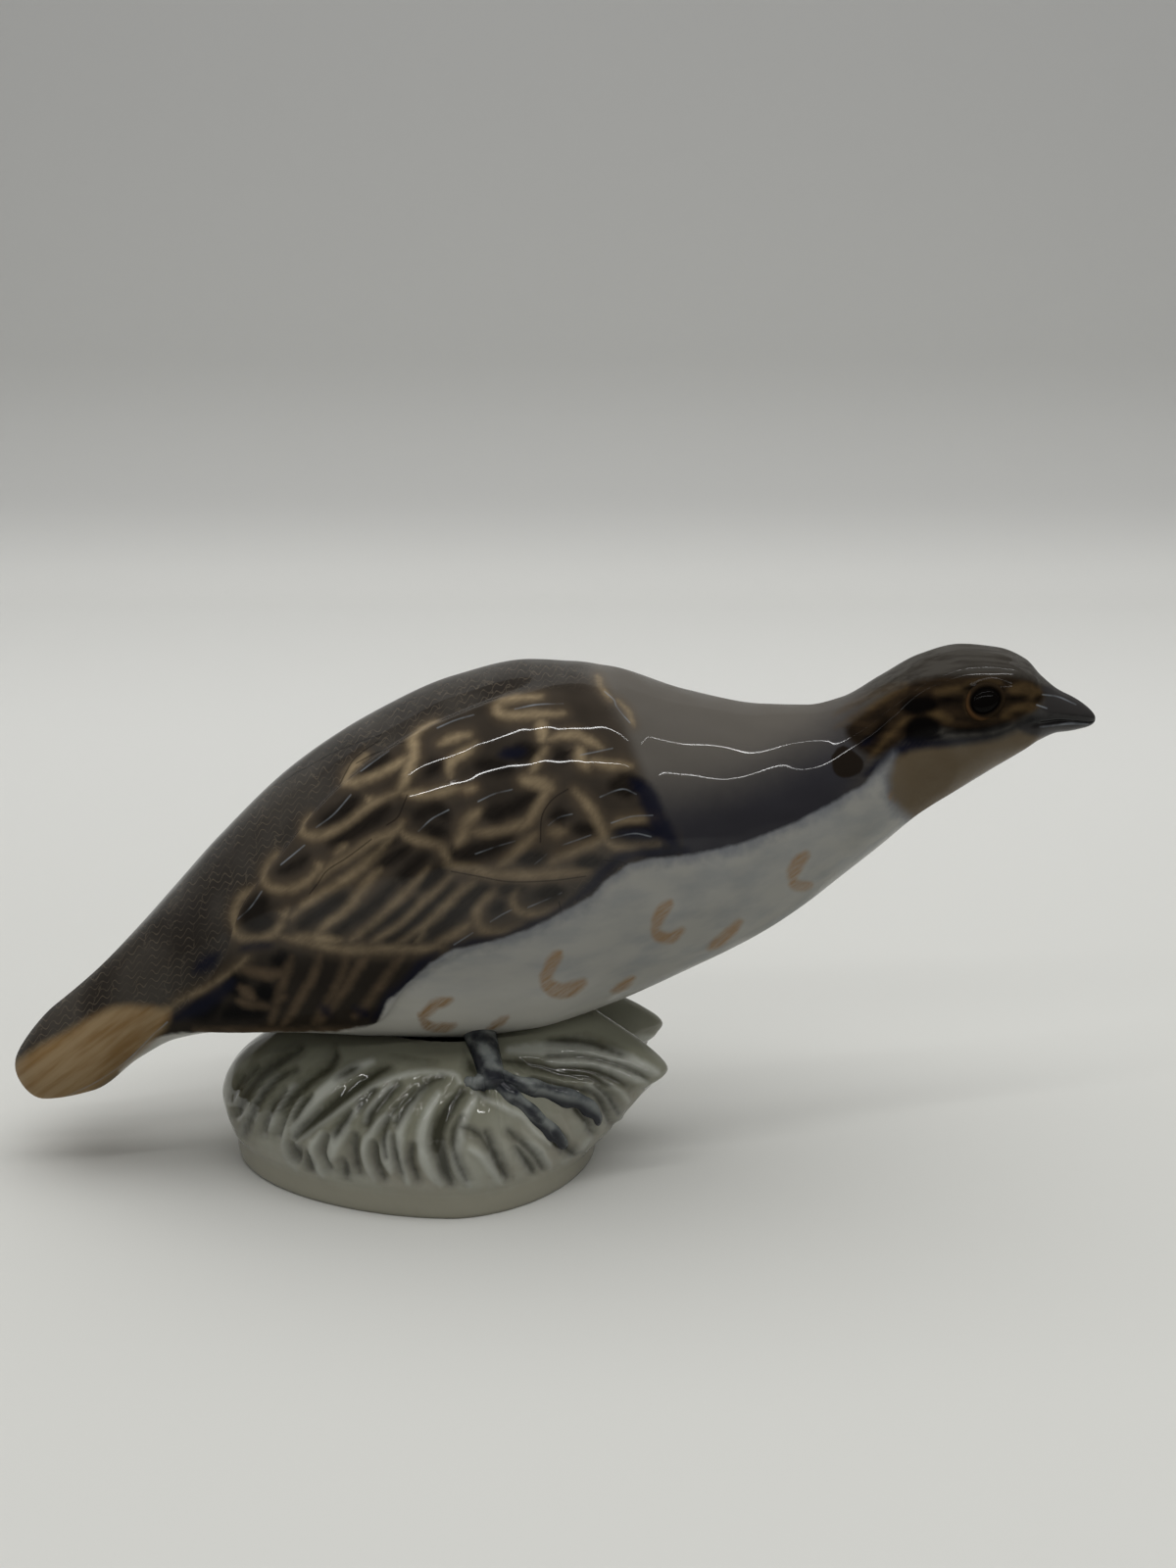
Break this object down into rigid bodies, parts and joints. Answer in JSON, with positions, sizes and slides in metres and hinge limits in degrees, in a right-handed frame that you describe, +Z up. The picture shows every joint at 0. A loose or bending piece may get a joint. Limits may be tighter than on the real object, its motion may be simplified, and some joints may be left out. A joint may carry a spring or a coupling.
{
  "type": "partridge figurine",
  "caption": "Glazed porcelain partridge stretched out over a grass mound, hollow-cast in one piece, with a recessed foot and a vent hole.",
  "frame": {"origin": "middle of the figurine's length and width, on the surface that its base stands on", "axes": "+X towards the beak, +Z up, +Y to the bird's left side"},
  "size_m": [0.25, 0.08, 0.1216],
  "materials": {
    "glazed_porcelain": "clear gloss glaze over underglaze painting in browns, greys and white"
  },
  "bodies": {
    "root": {"partridge": "glazed_porcelain"}
  },
  "joints": []
}
